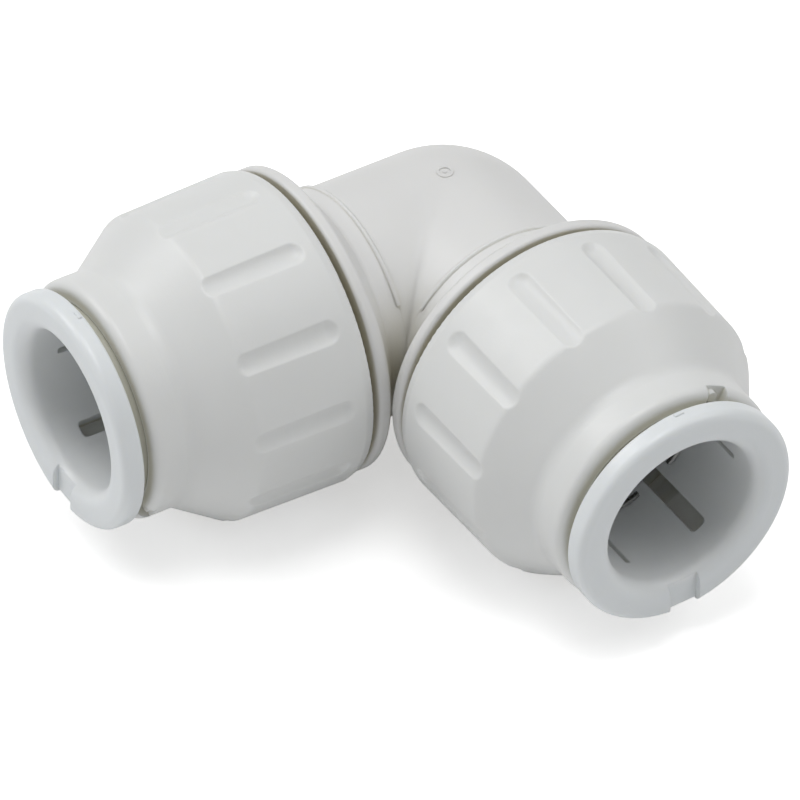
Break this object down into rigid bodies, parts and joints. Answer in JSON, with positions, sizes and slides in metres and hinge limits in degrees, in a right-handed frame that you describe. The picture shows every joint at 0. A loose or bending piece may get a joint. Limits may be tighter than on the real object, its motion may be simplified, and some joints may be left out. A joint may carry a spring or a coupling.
{
  "type": "push fit elbow coupling",
  "caption": "White plastic right-angle pipe coupling with a grooved screw cap and a push-in collet on each end, which grip and seal the pipes.",
  "frame": {"origin": "where the axes of the two pipe sockets cross", "axes": "-Y out of pipe socket a, +X out of pipe socket b, +Z square to the plane of the elbow"},
  "size_m": [0.0549, 0.0549, 0.0298],
  "materials": {
    "body_plastic": "satin moulded white plastic",
    "cap_plastic": "satin moulded white plastic",
    "collet_plastic": "smooth moulded white plastic, slightly bluish",
    "washer_plastic": "moulded white plastic",
    "seal_rubber": "black moulded rubber",
    "tooth_steel": "stamped stainless steel"
  },
  "bodies": {
    "elbow": {"elbow_body": "body_plastic", "o_ring_a": "seal_rubber", "o_ring_b": "seal_rubber"},
    "washer_a": {"spacer_washer_a": "washer_plastic"},
    "cap_a": {"screw_cap_a": "cap_plastic"},
    "collet_a": {"collet_a": "collet_plastic", "grab_tooth_a1": "tooth_steel", "grab_tooth_a2": "tooth_steel", "grab_tooth_a3": "tooth_steel", "grab_tooth_a4": "tooth_steel", "grab_tooth_a5": "tooth_steel", "grab_tooth_a6": "tooth_steel"},
    "washer_b": {"spacer_washer_b": "washer_plastic"},
    "cap_b": {"screw_cap_b": "cap_plastic"},
    "collet_b": {"collet_b": "collet_plastic", "grab_tooth_b1": "tooth_steel", "grab_tooth_b2": "tooth_steel", "grab_tooth_b3": "tooth_steel", "grab_tooth_b4": "tooth_steel", "grab_tooth_b5": "tooth_steel", "grab_tooth_b6": "tooth_steel"}
  },
  "joints": [
    {"name": "cap_advance_a", "type": "slide", "parent": "elbow", "child": "washer_a", "axis": [0, 1, 0], "range_m": [0, 0.00066]},
    {"name": "cap_twist_a", "type": "hinge", "parent": "washer_a", "child": "cap_a", "pos_m": [0, -0.02435, 0], "axis": [0, 1, 0], "range_deg": [0, 90]},
    {"name": "collet_press_a", "type": "slide", "parent": "washer_a", "child": "collet_a", "axis": [0, 1, 0], "range_m": [0, 0.0009]},
    {"name": "cap_advance_b", "type": "slide", "parent": "elbow", "child": "washer_b", "axis": [-1, 0, 0], "range_m": [0, 0.00066]},
    {"name": "cap_twist_b", "type": "hinge", "parent": "washer_b", "child": "cap_b", "pos_m": [0.02435, 0, 0], "axis": [-1, 0, 0], "range_deg": [0, 90]},
    {"name": "collet_press_b", "type": "slide", "parent": "washer_b", "child": "collet_b", "axis": [-1, 0, 0], "range_m": [0, 0.0009]}
  ],
  "couplings": [
    {"joint": "cap_advance_a", "follows": "cap_twist_a", "m_per_rad": 0.0004138},
    {"joint": "cap_advance_b", "follows": "cap_twist_b", "m_per_rad": 0.0004138}
  ]
}
